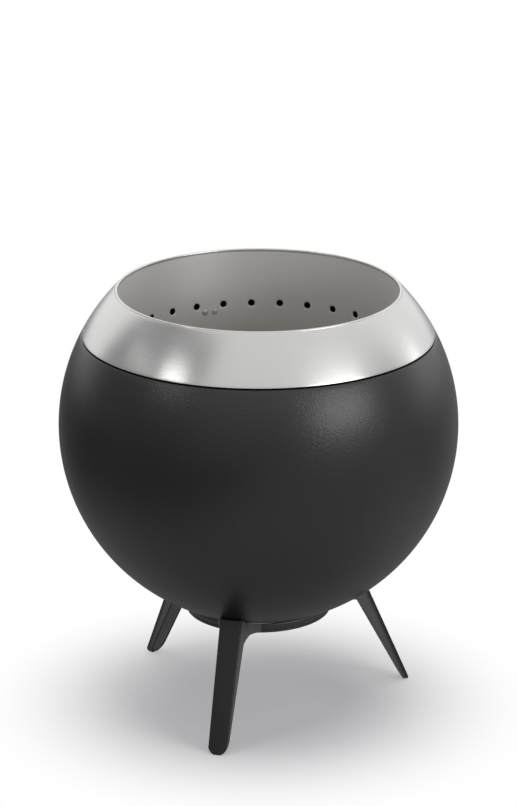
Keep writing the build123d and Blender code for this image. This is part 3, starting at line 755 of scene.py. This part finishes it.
stainless_sheet, shader = new_finish("stainless_sheet", Metallic=1.0)
roll_lines = clouds(stainless_sheet, place=object_place(stainless_sheet, scale=(30.0, 30.0, 1200.0)))
marks = clouds(stainless_sheet, per_metre=40.0)
stainless_sheet.feed(shader.inputs["Base Color"], stainless_sheet.blend(marks, sheet_grey, sheet_pale))
stainless_sheet.feed(shader.inputs["Roughness"], sheet_roughness + roll_lines * 0.08 + marks * 0.08)
raise_surface(stainless_sheet, shader, roll_lines, roll_depth)
give_finish("seat_ring", stainless_sheet)


# Fire chamber wall: stainless sheet rolled into a tube, with its upper edge rolled over into a lip and
# a row of round air holes below the seam. Heat has dulled it to a warm grey below the bright lip.
upper_hole_count = 30
upper_hole_radius = 0.004
upper_hole_drop = 0.064
hole_land = 0.0065
lip_end = -30.0
lip_steps = 16
tube_edge = 0.0003
round_profile = 0.0858
patch_share = 0.9
ring_tolerance = 0.0001
turn_tolerance = 0.01
level_face_fall = 0.001
tube_grey = (0.60, 0.595, 0.585)
dulled_grey = (0.50, 0.475, 0.43)
lip_pale = (0.62, 0.62, 0.615)
tube_roughness = 0.50
tube_metallic = 0.45
lip_polish_drops = (0.003, 0.001)
dulled_heights = (0.36, 0.50)
dulled_raggedness = 0.06


def punch_holes(piece, holds, radius):
    """Opens a round hole at each vertex that holds: bevels it to a round patch and deletes the patch."""
    bpy.context.view_layer.objects.active = piece
    bpy.ops.object.mode_set(mode="EDIT")
    bpy.ops.mesh.select_mode(type="VERT")
    bpy.ops.mesh.select_all(action="DESELECT")
    bpy.ops.object.mode_set(mode="OBJECT")
    centres = [vertex.co.copy() for vertex in piece.data.vertices if holds(vertex.co)]
    for vertex in piece.data.vertices:
        vertex.select = holds(vertex.co)
    bpy.ops.object.mode_set(mode="EDIT")
    bpy.ops.mesh.bevel(affect="VERTICES", offset=radius, segments=4, profile=round_profile)
    bpy.ops.mesh.select_mode(type="FACE")
    bpy.ops.mesh.select_all(action="DESELECT")
    bpy.ops.object.mode_set(mode="OBJECT")
    for face in piece.data.polygons:
        face.select = any((face.center - centre).length < radius * patch_share for centre in centres)
    bpy.ops.object.mode_set(mode="EDIT")
    bpy.ops.mesh.delete(type="FACE")
    bpy.ops.object.mode_set(mode="OBJECT")


def thicken_outwards(piece, thickness):
    """Gives a single sheet its thickness away from the upright axis, and below where it lies level."""
    low_face = min(piece.data.polygons, key=lambda face: face.center.z)
    outwards = Vector((low_face.center.x, low_face.center.y, -level_face_fall))
    faces_out = low_face.normal.dot(outwards) > 0
    apply_modifier(piece, "SOLIDIFY", thickness=thickness, offset=1.0 if faces_out else -1.0)


def at_even_azimuths(place, count):
    """Whether a place lies at one of a number of azimuths spread evenly from the X axis."""
    turns = degrees(atan2(place.y, place.x)) * count / 360.0
    return abs(turns - round(turns)) < turn_tolerance


mouth_inside = lip_reach - lip_radius
upper_hole_height = lip_height - upper_hole_drop
outline = [(mouth_inside, wall_low.z), (mouth_inside, (wall_low.z + upper_hole_height) / 2)]
outline += [(mouth_inside, upper_hole_height + land) for land in (-hole_land, 0.0, hole_land)]
outline += arc((lip_reach, lip_height), lip_radius, 180.0, lip_end, lip_steps)
tube = turn_piece("chamber_tube", outline, sides=180, closed=False)
punch_holes(
    tube,
    lambda place: abs(place.z - upper_hole_height) < ring_tolerance
    and at_even_azimuths(place, upper_hole_count),
    upper_hole_radius,
)
thicken_outwards(tube, sheet_wall)
round_edges(tube, tube_edge)

tube_steel, shader = new_finish("heat_dulled_tube", Anisotropic=0.3, Anisotropic_Rotation=0.25)
strokes = clouds(tube_steel, detail=3.0, place=object_place(tube_steel, scale=(6.0, 6.0, 1800.0)))
patches = clouds(tube_steel, per_metre=12.0)
tube_height = height_of(tube_steel)
bright_lip = tube_steel.smooth(tube_height, *(lip_height - drop for drop in lip_polish_drops))
dulling = 1 - tube_steel.smooth(tube_height + patches * dulled_raggedness, *dulled_heights)
tube_colour = tube_steel.blend(dulling, tube_grey, dulled_grey)
tube_steel.feed(shader.inputs["Base Color"], tube_steel.blend(bright_lip, tube_colour, lip_pale))
tube_steel.feed(shader.inputs["Metallic"], tube_metallic + bright_lip * (1 - tube_metallic))
tube_steel.feed(shader.inputs["Roughness"], tube_roughness - bright_lip * 0.24 + (strokes - 0.5) * 0.12)
raise_surface(tube_steel, shader, strokes, brush_depth)
finish_piece(tube, tube_steel, "rim_and_chamber", "chamber_stainless", "chamber_wall")


# Fire chamber floor: pressed from stainless sheet, with a collar inside the tube, a curved side with a
# row of air holes, a ledge for the grate and a lower one for the ash pan.
floor_low, floor_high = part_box("chamber_floor")
floor_bend = 0.110
floor_collar = 0.008
grate_ledge_reach = 0.113
grate_ledge_width = 0.009
pan_ledge_drop = 0.008
pan_ledge_width = 0.008
lower_hole_count = 24
lower_hole_radius = 0.005
lower_hole_rise = 0.030
lower_hole_land = 3.6
straw_tint = (0.44, 0.40, 0.34)
grey_tint = (0.36, 0.36, 0.37)
soot_brown = (0.16, 0.145, 0.13)
pan_roughness = 0.46
pan_metallic = 0.65
scale_depth = 0.00002

floor_inside = floor_high.x - sheet_wall
bend_centre = (floor_inside - floor_bend, floor_high.z - floor_collar)
grate_ledge = floor_low.z + sheet_wall + pan_ledge_drop
ledge_angle = -degrees(acos((grate_ledge_reach - bend_centre[0]) / floor_bend))
hole_angle = degrees(asin((grate_ledge + lower_hole_rise - bend_centre[1]) / floor_bend))
hole_place = arc_point(bend_centre, floor_bend, hole_angle)
pan_ledge_reach = grate_ledge_reach - grate_ledge_width
outline = [(floor_inside, floor_high.z)]
outline += arc(bend_centre, floor_bend, 0.0, hole_angle + lower_hole_land, steps=9)
outline += [hole_place]
outline += arc(bend_centre, floor_bend, hole_angle - lower_hole_land, ledge_angle, steps=6)
outline += [(pan_ledge_reach, grate_ledge), (pan_ledge_reach, grate_ledge - pan_ledge_drop)]
outline += [(pan_ledge_reach - pan_ledge_width, grate_ledge - pan_ledge_drop)]
chamber_pan = turn_piece("pressed_chamber_floor", outline, sides=144, closed=False)
punch_holes(
    chamber_pan,
    lambda place: abs(place.z - hole_place[1]) < ring_tolerance
    and at_even_azimuths(place, lower_hole_count),
    lower_hole_radius,
)
thicken_outwards(chamber_pan, sheet_wall)
round_edges(chamber_pan, tube_edge)

pan_steel, shader = new_finish("heat_tinted_floor", Anisotropic=0.2, Anisotropic_Rotation=0.25)
rings = clouds(pan_steel, detail=3.0, place=object_place(pan_steel, scale=(6.0, 6.0, 900.0)))
scale_spots = clouds(pan_steel, per_metre=45.0)
soot = pan_steel.smooth(scale_spots, start=0.45, end=0.70)
tinted = pan_steel.blend(clouds(pan_steel, per_metre=10.0), straw_tint, grey_tint)
pan_steel.feed(shader.inputs["Base Color"], pan_steel.blend(soot * 0.5, tinted, soot_brown))
pan_steel.feed(shader.inputs["Metallic"], pan_metallic - soot * 0.2)
pan_steel.feed(shader.inputs["Roughness"], pan_roughness + soot * 0.16 + (rings - 0.5) * 0.10)
raise_surface(pan_steel, shader, rings + scale_spots * 0.6, scale_depth)
finish_piece(chamber_pan, pan_steel, "rim_and_chamber", "chamber_stainless", "chamber_floor")


# Chamber brackets: three strips of stainless sheet, bent twice, that hang the fire chamber in the
# spigot. Each has a pair of rivets at either end.
bracket_edge = 0.0002

for number in (1, 2, 3):
    name = f"chamber_bracket_{number}"
    bracket = softened_copy(name, f"bent_bracket_{number}", bracket_edge)
    finish_piece(bracket, stainless_sheet, "rim_and_chamber", "stainless_sheet", name)


# Bracket rivets: twelve steel rivets with a low domed head on both sides, closed through the chamber
# wall and the spigot. Those inside the chamber have been dulled by the fire.
bracket_azimuths = (6.0, 126.0, 246.0)
rivet_radius = 0.002
rivet_head_radius = 0.0036
rivet_head_height = 0.0013
rivet_dome = ((0.55, 1.0), (0.85, 0.7), (1.0, 0.0))
rivet_edge = 0.00015
rivet_spread = 0.012
bracket_tab = 0.016
spigot_play = 0.0025
thread_gap = 0.00005
dulled_rivet_grey = (0.52, 0.51, 0.48)
dulled_rivet_roughness = 0.45

seat_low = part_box("seat_ring")[0]
spigot_reach = ledge_reach - spigot_play
rivet_far_side = rivet_spread / 2 + rivet_head_radius
wall_rivet_start = sqrt(mouth_inside**2 - rivet_far_side**2) - thread_gap
wall_rivet_end = mouth_inside + 2 * sheet_wall + weld_gap
wall_rivet_height = seat_low.z - bracket_tab / 2
spigot_rivet_start = spigot_reach - 2 * sheet_wall - 2 * weld_gap - thread_gap
spigot_rivet_end = spigot_reach + thread_gap
spigot_rivet_height = (seat_low.z + rim_low.z) / 2


def rivet_row(name, start, end, height):
    """The pairs of rivets at one end of the three brackets, between two reaches."""
    outline = [(rivet_head_radius * width, start - rivet_head_height * rise) for width, rise in rivet_dome]
    outline += [(rivet_radius, start), (rivet_radius, end)]
    for width, rise in reversed(rivet_dome):
        outline.append((rivet_head_radius * width, end + rivet_head_height * rise))
    model = turn_piece(name + "_model", outline, sides=24, closed=False)
    close_ends(model)
    round_edges(model, rivet_edge)
    places = []
    for azimuth in bracket_azimuths:
        level = Vector((cos(radians(azimuth)), sin(radians(azimuth)), 0))
        sideways = Vector((-level.y, level.x, 0)) * rivet_spread / 2
        for shift in (-sideways, sideways):
            places.append(stand_on(shift + Vector((0, 0, height)), level))
    return set_out(model, name, places)


dulled_steel = small_steel("fire_dulled_rivets", dulled_rivet_grey, dulled_rivet_roughness, metallic=0.5)
wall_rivets = rivet_row("chamber_rivets", wall_rivet_start, wall_rivet_end, wall_rivet_height)
finish_piece(wall_rivets, dulled_steel, "rim_and_chamber", "screw_steel", "bracket_rivets")
spigot_rivets = rivet_row("spigot_rivets", spigot_rivet_start, spigot_rivet_end, spigot_rivet_height)
finish_piece(spigot_rivets, screw_steel, "rim_and_chamber", "screw_steel", "bracket_rivets")


# Grate: a disc of cast iron with parallel slots and a cross rib, loose on the chamber floor's upper
# ledge. It has the grain of sand casting and the brown bloom of iron that has been hot.
grate_edge = 0.0006
iron_black = (0.045, 0.044, 0.043)
iron_brown = (0.085, 0.058, 0.042)
iron_roughness = 0.52
iron_metallic = 0.6
sand_depth = 0.00015

grate = softened_copy("grate", "cast_grate", grate_edge)
iron, shader = new_finish("bare_cast_iron", Specular_IOR_Level=0.5)
sand = clouds(iron, per_metre=900.0, detail=3.0)
pits = clouds(iron, per_metre=220.0)
bloom = iron.smooth(clouds(iron, per_metre=22.0), start=0.40, end=0.70)
iron.feed(shader.inputs["Base Color"], iron.blend(bloom, iron_black, iron_brown))
iron.feed(shader.inputs["Metallic"], iron_metallic - bloom * 0.4)
iron.feed(shader.inputs["Roughness"], iron_roughness + sand * 0.15 + bloom * 0.1)
raise_surface(iron, shader, sand + pits, sand_depth)
finish_piece(grate, iron, "grate", "cast_iron", "grate")


# Ash pan: a shallow pot drawn from aluminised sheet steel, which hangs by its flange in the chamber
# floor's lower ledge under the grate.
pan_low, pan_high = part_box("ash_pan")
pan_wall = 0.001
pan_corner = 0.009
pan_edge = 0.0003
drop_in_gap = 0.001

pan_reach = pan_ledge_reach - pan_ledge_width - drop_in_gap
corner_centre = (pan_reach - pan_corner, pan_low.z + pan_corner)
outline = [(pan_high.x, pan_high.z), (pan_reach - pan_wall, pan_high.z)]
outline += arc(corner_centre, pan_corner - pan_wall, 0.0, -90.0, steps=8)
outline += [(corner_centre[0] / 2, pan_low.z + pan_wall), (0.0, pan_low.z + pan_wall)]
ash_pan = turn_piece("drawn_ash_pan", outline, sides=128, closed=False)
thicken_outwards(ash_pan, pan_wall)
round_edges(ash_pan, pan_edge)
ash_pan_steel = aluminised_sheet("ash_pan_sheet", 0.5)
finish_piece(ash_pan, ash_pan_steel, "ash_pan", "plain_steel", "ash_pan")


# Ash pan grips: two bails of bent steel wire, welded on the pan's flange, that reach in over the pan.
# Fine die marks run along the drawn wire.
wire_grey = (0.55, 0.55, 0.54)
weld_straw = (0.38, 0.33, 0.28)
wire_roughness = 0.28
die_mark_depth = 0.00001

wire, shader = new_finish("drawn_grip_wire", Metallic=1.0)
die_marks = clouds(wire, place=object_place(wire, scale=(60.0, 60.0, 2600.0)))
weld_heat = wire.smooth(clouds(wire, per_metre=70.0), start=0.4, end=0.7)
wire.feed(shader.inputs["Base Color"], wire.blend(weld_heat, wire_grey, weld_straw))
wire.feed(shader.inputs["Roughness"], wire_roughness + die_marks * 0.10 + weld_heat * 0.10)
raise_surface(wire, shader, die_marks, die_mark_depth)
for number in (1, 2):
    give_finish(f"ash_pan_grip_{number}", wire)
